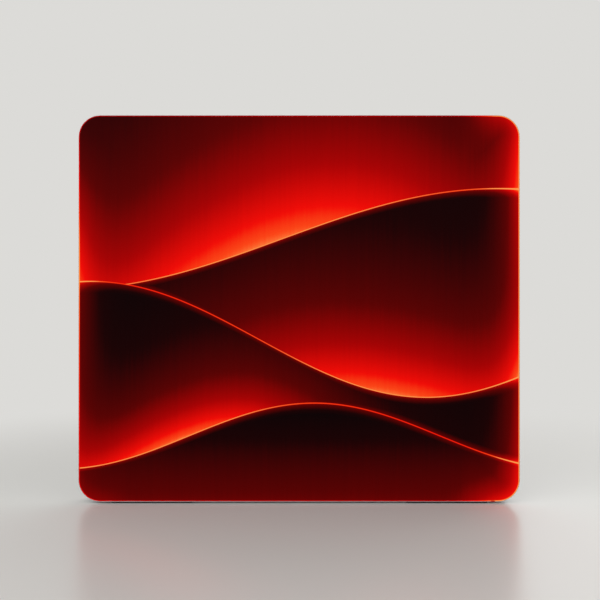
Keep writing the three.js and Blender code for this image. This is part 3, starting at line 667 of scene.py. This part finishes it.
def white_housing():
    """Moulded white polycarbonate: clean and slightly glossy."""
    return grained("moulded white polycarbonate", hardware().white, 0.5 * MM, 0.08, 0.4)


def turned_nylon():
    """Turned nylon: waxy and nearly smooth."""
    return grained("turned nylon", hardware().nylon, 1.0 * MM, 0.1, 0.42)


def sole_rubber():
    """Die-cut sheet rubber: dull, with a slightly dusty face."""
    return grained("die-cut rubber sheet", hardware().rubber, 1.2 * MM, 0.3, 0.85, drift=0.3)


def cable_sheath():
    """Extruded soft PVC: satin and smooth."""
    return grained("soft PVC sheath", hardware().sheath, 2.0 * MM, 0.05, 0.4)


def filled_line():
    """A stamped line filled with black paint: thin and matt."""
    return grained("black paint in a stamped line", hardware().housing, 0.3 * MM, 0.05, 0.6)


def pad_print():
    """White pad print: thin, matt ink."""
    return grained("white pad print", hardware().mark, 0.3 * MM, 0.05, 0.6)


def sewing_thread():
    """Spun polyester thread: matt with a fine twist."""
    return grained("spun polyester thread", fabric().thread, 0.3 * MM, 0.4, 0.8)


def edge_silicone():
    """Extruded silicone: waxy and translucent, with the glow of the lit cloth painted into its orange colour.
    """
    depth = {"Subsurface Weight": 0.3, "Subsurface Radius": (4 * MM, 2 * MM, 1 * MM)}
    return grained("extruded silicone", hardware().silicone, 1.5 * MM, 0.05, 0.45, also=depth)


def lit_lens():
    """Clear acrylic over a lit diode: a warm white glow."""
    light = {"Emission Color": rgba(hardware().lens), "Emission Strength": 1}
    return grained("acrylic lens, lit", hardware().lens, 1.0 * MM, 0.02, 0.15, also=light)


# Cloth

SIDE_STEPS = 150
# As many as the frame's bends have, so that the gap beside the cloth is even
CORNER_STEPS = 10
LEAST_CORNER_SHARE = 1 / 3  # of the corner radius, for the rings far inside
FOLD_STEPS = 4
# Distances from the fold, as shares of the way to the middle, closest together where the pull marks rise
RING_SHARES = (0.004, 0.012, 0.03, 0.042, 0.055, 0.07, 0.09, 0.115, 0.15, 0.2, 0.26, 0.34, 0.45, 0.6, 0.8, 1)
FLANGE_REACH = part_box("bottom_rail")[1].z - WALL_LOW.z
SEATED_SHARE = 0.12  # of a pucker's height, at the flange's inner edge
ALONG_SHARE = 0.45  # of a pucker's height, away from the corners
PUCKER_WAVES = (47, 71, 103)  # round the wall
PUCKER_REACH = 0.2
CORNER_REACH = 0.35
SEAT_GAP = 0.2 * MM  # how far the cloth may dip where it lies on the flange
MIDDLE_STRIP = 50 * MM
STRIP_EDGE = 0.3 * MM


def outline(inset):
    """Points (x, z) round the wall at an inset from its outline, anticlockwise from lower right."""
    corner_radius = fabric().corner_radius
    radius = max(corner_radius - inset, corner_radius * LEAST_CORNER_SHARE)
    reach_x = WALL_HALF.x - inset - radius
    reach_z = WALL_HALF.z - inset - radius
    points = []
    for turn, (sign_x, sign_z) in enumerate(((1, -1), (1, 1), (-1, 1), (-1, -1))):
        for i in range(CORNER_STEPS + 1):
            angle = (turn - 1 + i / CORNER_STEPS) * pi / 2
            x = sign_x * reach_x + radius * cos(angle)
            z = sign_z * reach_z + radius * sin(angle)
            points.append((x, z))
        next_x, next_z = (x, -z) if turn % 2 == 0 else (-x, z)
        for i in range(1, SIDE_STEPS):
            share = i / SIDE_STEPS
            points.append((x + (next_x - x) * share, z + (next_z - z) * share))
    return [(WALL_MIDDLE.x + x, WALL_MIDDLE.z + z) for x, z in points]


def pucker(around, x, z, inset):
    """Share of the full pucker height at a spot: least on the flange, most inside it and in the corners."""
    wave = sum(sin(waves * around + waves) for waves in PUCKER_WAVES) / len(PUCKER_WAVES)
    past_flange = inset - FLANGE_REACH
    if past_flange < 0:
        rise = SEATED_SHARE * inset / FLANGE_REACH
    else:
        rise = SEATED_SHARE + (1 - SEATED_SHARE) * (1 - exp(-past_flange / (FLANGE_REACH / 2)))
    fade = exp(-max(0.0, past_flange) / PUCKER_REACH)
    to_corner = hypot(WALL_HALF.x - abs(x - WALL_MIDDLE.x), WALL_HALF.z - abs(z - WALL_MIDDLE.z))
    return wave * rise * fade * (ALONG_SHARE + (1 - ALONG_SHARE) * exp(-to_corner / CORNER_REACH))


def stretched_cloth(name, node, strip, side, slot, maker, height):
    """A cloth pulled over the frame, with a rounded edge and low puckers that fade towards the middle."""
    low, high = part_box(node)
    outer, inner = (low.y, high.y) if side == FRONT_SIDE else (high.y, low.y)
    edge = WALL_HALF.x - (high.x - low.x) / 2
    fold = fabric().fold
    middle = WALL_HALF.z - MIDDLE_STRIP
    bends = [pi / 2 * i / FOLD_STEPS for i in range(FOLD_STEPS + 1)]
    insets = [edge + fold * (1 - cos(bend)) for bend in bends]
    insets += [edge + fold + (middle - edge - fold) * share for share in RING_SHARES]
    depths = [outer - side * fold * (1 - sin(bend)) for bend in bends]
    depths += [outer] * len(RING_SHARES)

    def build(bm):
        outer_rings, inner_rings = [], []
        for inset, depth in zip(insets, depths):
            points = outline(inset)
            outer_rings.append([])
            inner_rings.append([])
            for i, (x, z) in enumerate(points):
                lift = height * pucker(tau * i / len(points), x, z, inset - edge)
                if inset - edge < FLANGE_REACH:
                    lift = max(lift, -SEAT_GAP)
                outer_rings[-1].append(bm.verts.new((x, depth + side * lift, z)))
                inner_rings[-1].append(bm.verts.new((x, inner + side * lift, z)))
        for rings in (outer_rings, inner_rings):
            for near, far in zip(rings, rings[1:]):
                ring_faces(bm, near, far)
            bm.faces.new(rings[-1])
        ring_faces(bm, outer_rings[0], inner_rings[0])
        bmesh.ops.remove_doubles(bm, verts=bm.verts, dist=JOIN_WITHIN)

    piece = new_piece(name, "frame", maker, build)
    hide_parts(node)
    # The cut is the face and the part that turns over the fold, with round corners
    finish_node(strip, edge_silicone, STRIP_EDGE)


class WALL_OT_front_graphic(bpy.types.Operator):
    """Stretches the printed cloth over the front"""

    bl_idname = "wall.front_graphic"
    bl_label = "Front graphic"

    def execute(self, context):
        looks = ("printed_fabric", printed_knit, fabric().face_puckers)
        stretched_cloth("printed_face", "front_graphic", "front_edge_strip", FRONT_SIDE, *looks)
        return {"FINISHED"}


class WALL_OT_rear_liner(bpy.types.Operator):
    """Stretches the block-out liner over the back"""

    bl_idname = "wall.rear_liner"
    bl_label = "Rear liner"

    def execute(self, context):
        looks = ("block_out_fabric", block_out_knit, fabric().puckers)
        stretched_cloth("liner_face", "rear_liner", "rear_edge_strip", REAR_SIDE, *looks)
        return {"FINISHED"}


TAB_THICKNESS = 0.8 * MM
TAB_BEND = 0.9 * MM
TAB_INNER_BEND = 0.1125 * MM
TAB_BEND_STEPS = 5
STITCH_LENGTH = 2.6 * MM
STITCH_RADIUS = 0.28 * MM
STITCH_SHARES = ((0, -1), (0.6, -0.8), (1, 0), (0.6, 0.8), (0, 1))  # of its radius and half its length
STITCH_PITCH = 3.4 * MM
STITCH_COUNT = 5
STITCH_SIDES = 8
SEAM_INSET = 2.2 * MM


def stitch(bm, middle, along):
    """One stitch under a tab, which dips into the cloth at both ends."""
    half = STITCH_LENGTH / 2
    profile = [(STITCH_RADIUS * radius, half * height) for radius, height in STITCH_SHARES]
    turned(bm, profile, STITCH_SIDES, facing(middle, along, Vector((0, 0, -1))))


def pull_tab(name, node, side, maker):
    """A doubled cloth tab that turns over the lip and lies under the wall, with its seams."""
    low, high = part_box(node)
    outer, inner = (low.y, high.y) if side == FRONT_SIDE else (high.y, low.y)

    def path(inset, radius):
        """The tab's outline at an inset: from its top down, round the bend and inwards."""
        face = outer - side * inset
        under = low.z + inset
        points = [(face, high.z)]
        for i in range(TAB_BEND_STEPS + 1):
            angle = pi / 2 * i / TAB_BEND_STEPS
            back, rise = radius * (1 - cos(angle)), radius * (1 - sin(angle))
            points.append((face - side * back, under + rise))
        points.append((inner, under))
        return points

    def build(bm):
        loop = path(0, TAB_BEND) + path(TAB_THICKNESS, TAB_INNER_BEND)[::-1]
        left, right = ([bm.verts.new((x, y, z)) for y, z in loop] for x in (low.x, high.x))
        ring_faces(bm, left, right)
        bm.faces.new(left)
        bm.faces.new(right[::-1])

    def sew(bm):
        seam = inner + side * SEAM_INSET
        for x in (low.x + SEAM_INSET, high.x - SEAM_INSET):
            for i in range(STITCH_COUNT):
                stitch(bm, (x, seam + side * (STITCH_LENGTH / 2 + i * STITCH_PITCH), low.z), (0, 1, 0))
        across = (high.x - low.x - 2 * SEAM_INSET) / STITCH_PITCH
        for i in range(1, int(across)):
            stitch(bm, (low.x + SEAM_INSET + i * STITCH_PITCH, seam, low.z), (1, 0, 0))

    piece = new_piece(name, "frame", maker, build)
    ease_edges(piece, TAB_THICKNESS / 5)
    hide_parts(node)
    stitches = new_piece(f"{name}_stitches", "frame", sewing_thread, sew)


class WALL_OT_pull_tabs(bpy.types.Operator):
    """Makes the tabs that pull the cloths out of their grooves"""

    bl_idname = "wall.pull_tabs"
    bl_label = "Pull tabs"

    def execute(self, context):
        pull_tab("printed_tab", "front_pull_tab", FRONT_SIDE, unlit_knit)
        pull_tab("liner_tab", "rear_pull_tab", REAR_SIDE, block_out_knit)
        return {"FINISHED"}


# Frame

SOCKET_REACH = 4 * MM
SOCKET_FROM = 0.05 * MM
SOCKET_DEPTH = 2 * MM
INDEX_FROM = 5.2 * MM
INDEX_SIZE = (1 * MM, 3.6 * MM, 0.12 * MM)


def lock(node, spot, inward):
    """A quarter-turn lock with painted shade in its key socket and a painted line that shows how its head
    stands.
    """
    piece = finish_node(node, zinc_plate, hardware().edge)
    head = min((vert.co - spot).dot(inward) for vert in piece.data.vertices)

    def in_socket(point):
        depth = (point - spot).dot(inward)
        off_axis = (point - spot - depth * inward).length
        return head + SOCKET_FROM < depth < head + SOCKET_DEPTH and off_axis < SOCKET_REACH

    # The socket's faces take the dark zinc, which paints in the shade of the recess
    paint_faces(piece, zinc_with_painted_shade, in_socket)
    wide, long, thick = INDEX_SIZE
    low, high = (-wide / 2, INDEX_FROM, 0), (wide / 2, INDEX_FROM + long, thick)
    place = facing(spot + head * inward, -inward, Vector((0, 1, 0)))
    name = f"{node}_index"
    line = new_piece(name, node, filled_line, lambda bm: block(bm, low, high, place))
    ease_edges(line, thick / 4)


class WALL_OT_frame(bpy.types.Operator):
    """Finishes the extruded sections, the splice bars, the locks and the centre post"""

    bl_idname = "wall.frame"
    bl_label = "Frame"

    def execute(self, context):
        edge = hardware().edge
        corners = [node for node in NODES if node.startswith("corner_")]
        for node in (*corners, "bottom_rail", "top_rail", "left_post", "right_post", "centre_post"):
            finish_node(node, anodised_aluminium, edge, rubbed_aluminium)
        for node in NODES:
            if node.startswith("splice_bar_"):
                finish_node(node, zinc_plate, edge)
        for joint in JOINTS:
            if joint["name"].startswith("lock_turn_"):
                lock(joint["child"], Vector(joint["pos_m"]), Vector(joint["axis"]))
        for end in ("top", "bottom"):
            finish_node(f"centre_post_shoe_{end}", moulded_housing, edge, polished_housing)
        return {"FINISHED"}


# Light

LENS_INWARD = 16.8 * MM
LENS_HALF_WIDTH = 8 * MM
LENS_FROM_END = 19.2 * MM
CAP_THICKNESS = 2.4 * MM
CAP_OVERHANG = 0.25 * MM
# Half a section of a cable's grommet, as (radius, height) in millimetres
GROMMET_PROFILE = ((0, 0), (5.5, 0), (5.5, 1.2), (4.6, 1.2), (4.2, 5.5), (0, 5.5))
BRACKET_SCREW = 2.6 * MM


def inward_of(point):
    """How far a point is inside the wall's outline, on its straight sides."""
    return min(WALL_HALF.x - abs(point.x - WALL_MIDDLE.x), WALL_HALF.z - abs(point.z - WALL_MIDDLE.z))


def lens_test(node):
    """Tells a bar's lenses from its housing and from the tap at its end."""
    low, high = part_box(node)
    axis = 0 if high.x - low.x > high.z - low.z else 2

    def is_lens(point):
        from_end = min(point[axis] - low[axis], high[axis] - point[axis])
        in_band = inward_of(point) > LENS_INWARD and abs(point.y) < LENS_HALF_WIDTH
        return in_band and from_end > LENS_FROM_END

    return is_lens


def driver_cap(name, side, lead):
    """A moulded cover on the driver's lower (-1) or upper (1) end, with a grommet for its lead."""
    low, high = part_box("led_driver")
    end = high.z if side > 0 else low.z
    lead_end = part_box(lead)[0].z if side > 0 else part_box(lead)[1].z
    ends = [vert.co for vert in NODES[lead].data.vertices if abs(vert.co.z - lead_end) < MM]
    entry = sum(ends, Vector()) / len(ends)
    outer, inner = end + side * CAP_THICKNESS, end - side * CAP_OVERHANG
    profile = [(radius * MM, height * MM) for radius, height in GROMMET_PROFILE]

    def build(bm):
        overhang = Vector((CAP_OVERHANG, CAP_OVERHANG, 0))
        block(bm, Vector((low.x, low.y, outer)) - overhang, Vector((high.x, high.y, inner)) + overhang)
        place = facing((entry.x, entry.y, outer), (0, 0, side), Vector((0, 1, 0)))
        turned(bm, profile, ROUND_STEPS, place)

    piece = new_piece(name, "frame", moulded_housing, build)
    ease_edges(piece, hardware().edge, polished_housing)


class WALL_OT_light(bpy.types.Operator):
    """Finishes the LED bars, the driver and the cables"""

    bl_idname = "wall.light"
    bl_label = "Light"

    def execute(self, context):
        edge = hardware().edge
        for node in NODES:
            if node.startswith("led_bar_"):
                piece = finish_node(node, white_housing, edge)
                paint_faces(piece, lit_lens, lens_test(node))
        finish_node("led_driver", anodised_aluminium, edge, rubbed_aluminium)
        finish_node("driver_bracket", zinc_plate, edge)
        for node in ("dc_bus_cable", "dc_feed_lead", "mains_lead"):
            finish_node(node, cable_sheath)
        driver_cap("driver_cap_lower", -1, "mains_lead")
        driver_cap("driver_cap_upper", 1, "dc_feed_lead")
        low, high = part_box("driver_bracket")
        cheek = (low.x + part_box("led_driver")[1].x) / 2
        for name, side in (("driver_screw_front", FRONT_SIDE), ("driver_screw_rear", REAR_SIDE)):
            screw(name, (cheek, side * high.y, (low.z + high.z) / 2), (0, side, 0), BRACKET_SCREW)
        return {"FINISHED"}


# Mains inlet

INLET_SCREW = 3 * MM
INLET_SCREW_IN = 3.6 * MM
PIN_MIDDLES = (-7 * MM, 0, 7 * MM)
PIN_WITHIN = 1.5 * MM
PIN_HEIGHTS = (14.8 * MM, 25 * MM)  # above the inlet's lower end
PIN_DEPTHS = (1.5 * MM, 15.6 * MM)  # behind the inlet's face
FUSE_CAP = 5.1 * MM
GRIP_COUNT = 6
GRIP_PITCH = 2 * MM
GRIP_SIZE = (0.45 * MM, 1 * MM, 4.6 * MM)
MARK_THICKNESS = 0.12 * MM
MARK_HEIGHT = 4.6 * MM
MARK_WIDTH = 0.8 * MM
FACES_OUT = 0.9  # least X part of the normal of a face that faces out of the inlet


def grip_ribs(bm):
    """Ribs on the face of the fuse drawer, to pull it by."""
    low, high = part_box("fuse_drawer")
    proud, width, height = GRIP_SIZE
    bottom, top = ((low.z + high.z + side * height) / 2 for side in (-1, 1))
    for i in range(GRIP_COUNT):
        y = (i - (GRIP_COUNT - 1) / 2) * GRIP_PITCH
        block(bm, (high.x - proud / 2, y - width / 2, bottom), (high.x + proud, y + width / 2, top))


def rocker_face(side):
    """Middle and normal of one half of the switch's face, taken from the node's own faces."""
    faces = NODES["rocker_switch"].data.polygons
    faces = [face for face in faces if face.normal.x > FACES_OUT and face.center.y * side > 0]
    area = sum(face.area for face in faces)
    middle = sum((face.center * face.area for face in faces), Vector()) / area
    return middle, sum((face.normal * face.area for face in faces), Vector())


def bar_mark(bm, place):
    """A straight mark, as the on side of a switch has."""
    low = (-MARK_WIDTH / 2, -MARK_HEIGHT / 2, 0)
    high = (MARK_WIDTH / 2, MARK_HEIGHT / 2, MARK_THICKNESS)
    block(bm, low, high, place)


def ring_mark(bm, place):
    """A ring, as the off side of a switch has."""
    outer = MARK_HEIGHT / 2
    inner = outer - MARK_WIDTH
    section = ((outer, 0), (outer, MARK_THICKNESS), (inner, MARK_THICKNESS), (inner, 0))
    turned(bm, section, ROUND_STEPS, place, closed=True)


class WALL_OT_inlet(bpy.types.Operator):
    """Finishes the mains inlet, its fuse drawer and its switch"""

    bl_idname = "wall.inlet"
    bl_label = "Mains inlet"

    def execute(self, context):
        edge = hardware().edge
        low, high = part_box("mains_inlet")

        def is_pin(point):
            near_pin = any(abs(point.y - middle) < PIN_WITHIN for middle in PIN_MIDDLES)
            at_height = PIN_HEIGHTS[0] < point.z - low.z < PIN_HEIGHTS[1]
            return near_pin and at_height and PIN_DEPTHS[0] < high.x - point.x < PIN_DEPTHS[1]

        for node in ("mains_inlet", "fuse_drawer", "rocker_switch"):
            finish_node(node, moulded_housing, edge, polished_housing)
        paint_faces(NODES["mains_inlet"], nickel_plate, is_pin)
        fuse = finish_node("mains_fuse", white_housing, edge / 2)
        cap_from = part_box("mains_fuse")[1].y - FUSE_CAP
        paint_faces(fuse, nickel_plate, lambda point: abs(point.y) > cap_from)
        for end, z in (("lower", low.z + INLET_SCREW_IN), ("upper", high.z - INLET_SCREW_IN)):
            screw(f"inlet_screw_{end}", (high.x, 0, z), (1, 0, 0), INLET_SCREW)

        ribs = new_piece("fuse_drawer_ribs", "fuse_carrier", moulded_housing, grip_ribs)
        ease_edges(ribs, edge / 3, polished_housing)
        marks = (("switch_on_mark", REAR_SIDE, bar_mark), ("switch_off_mark", FRONT_SIDE, ring_mark))
        for name, side, draw in marks:
            place = facing(*rocker_face(side))
            mark = new_piece(name, "rocker", pad_print, lambda bm: draw(bm, place))
            ease_edges(mark, MARK_THICKNESS / 4)
        return {"FINISHED"}


class WALL_OT_feet(bpy.types.Operator):
    """Finishes the swivel feet"""

    bl_idname = "wall.feet"
    bl_label = "Feet"

    def execute(self, context):
        edge = hardware().edge
        for side in ("left", "right"):
            finish_node(f"{side}_foot_plate", powder_coat, 2 * edge, rubbed_coat)
            finish_node(f"{side}_foot_sole", sole_rubber, edge)
            finish_node(f"{side}_foot_bearing", turned_nylon, edge)
            finish_node(f"{side}_foot_bolt", zinc_plate, edge)
            finish_node(f"{side}_foot_nut_plate", zinc_plate, edge)
        return {"FINISHED"}


# Stage

FLOOR_REACH = 60
FLOOR_ROUGHNESS = 0.28
FADE_START = 1.7
FADE_END = 4.6
DIFFUSE_LIGHT = 0.55
SENSOR_WIDTH = 36
# Power in watts, side of the lamp and its place; all of them look at the same spot
LAMPS = {
    "key": (260, 8.5, (-3.4, -4.6, 4.8)),
    "fill": (90, 6.5, (4.8, -3.6, 3.8)),
    "rear": (190, 8.5, (2.6, 5.0, 5.0)),
}
LAMPS_LOOK_AT = Vector((0, 0, 0.8))


def seen_directly(tree):
    """1 for rays from the camera and for mirrored or refracted ones, 0 for scattered light."""
    path = add(tree, "LightPath")
    total = path.outputs["Is Camera Ray"]
    for ray in ("Is Glossy Ray", "Is Transmission Ray"):
        total = add(tree, "Math", (total, path.outputs[ray]), "ADD", use_clamp=True)
    return total


def pale_floor():
    """Seamless pale studio floor that runs into the background with distance from the wall."""
    made, tree, shader, place = material("painted studio floor")
    colour_here = rgba(stage().floor)
    away = add(tree, "VectorMath", (place,), "LENGTH")
    fade = add(tree, "MapRange", (away, FADE_START, FADE_END), interpolation_type="SMOOTHSTEP")
    amount = add(tree, "Math", (fade, seen_directly(tree)), "MULTIPLY")
    glow = add(tree, "Emission", (colour_here, 1))
    connect(tree, tree.nodes["Material Output"], [add(tree, "MixShader", (amount, shader, glow))])
    connect(tree, shader, {"Base Color": colour_here, "Roughness": FLOOR_ROUGHNESS})
    return made


def pale_world():
    """Even studio light, with the floor's colour wherever the camera sees past the floor."""
    world = bpy.data.worlds.new("studio")
    bpy.context.scene.world = world
    world.use_nodes = True
    tree = world.node_tree
    strength = add(tree, "MapRange", (seen_directly(tree), 0, 1, DIFFUSE_LIGHT, 1))
    connect(tree, tree.nodes["Background"], (rgba(stage().floor), strength))


def area_lamp(name, power, size, place):
    lamp = bpy.data.lights.new(name, "AREA")
    lamp.energy = power
    lamp.size = size
    holder = bpy.data.objects.new(name, lamp)
    bpy.context.scene.collection.objects.link(holder)
    holder.location = place
    holder.rotation_euler = (LAMPS_LOOK_AT - Vector(place)).to_track_quat("-Z", "Y").to_euler()


class WALL_OT_stage(bpy.types.Operator):
    """Sets up the camera, the lamps and a plain pale floor"""

    bl_idname = "wall.stage"
    bl_label = "Stage"

    def execute(self, context):
        settings = stage()
        scene = context.scene
        lens = bpy.data.cameras.new("camera")
        lens.sensor_width = SENSOR_WIDTH
        lens.lens = SENSOR_WIDTH * settings.distance / settings.view_width
        camera = bpy.data.objects.new("camera", lens)
        scene.collection.objects.link(camera)
        camera.location = (settings.aside, FACE_PLANE - settings.distance, WALL_MIDDLE.z + settings.above)
        camera.rotation_euler = (pi / 2, 0, 0)
        scene.camera = camera
        scene.view_settings.view_transform = "Standard"

        def build(bm):
            corners = ((-1, -1), (1, -1), (1, 1), (-1, 1))
            bm.faces.new([bm.verts.new((x * FLOOR_REACH, y * FLOOR_REACH, 0)) for x, y in corners])

        floor = bpy.data.objects.new("floor", mesh_from("floor", build))
        scene.collection.objects.link(floor)
        floor.data.materials.append(pale_floor())
        pale_world()
        for name, lamp in LAMPS.items():
            area_lamp(name, *lamp)
        return {"FINISHED"}


class WALL_PT_panel(bpy.types.Panel):
    """Lists the steps that dress the wall"""

    bl_idname = "WALL_PT_panel"
    bl_label = "Lightbox wall"
    bl_space_type = "VIEW_3D"
    bl_region_type = "UI"
    bl_category = "Lightbox wall"

    def draw(self, context):
        for step in STEPS:
            self.layout.operator(step.bl_idname)


STEPS = (
    WALL_OT_stage,
    WALL_OT_front_graphic,
    WALL_OT_rear_liner,
    WALL_OT_pull_tabs,
    WALL_OT_frame,
    WALL_OT_light,
    WALL_OT_inlet,
    WALL_OT_feet,
)
SETTINGS = {"wall_fabric": FabricSettings, "wall_hardware": HardwareSettings, "wall_stage": StageSettings}
CLASSES = (*SETTINGS.values(), *STEPS, WALL_PT_panel)


def register():
    for entry in CLASSES:
        bpy.utils.register_class(entry)
    for name, group in SETTINGS.items():
        setattr(bpy.types.Scene, name, PointerProperty(type=group))


def unregister():
    for name in SETTINGS:
        delattr(bpy.types.Scene, name)
    for entry in reversed(CLASSES):
        bpy.utils.unregister_class(entry)


def main():
    register()
    for step in STEPS:
        area, name = step.bl_idname.split(".")
        getattr(getattr(bpy.ops, area), name)()


if __name__ == "__main__":
    main()
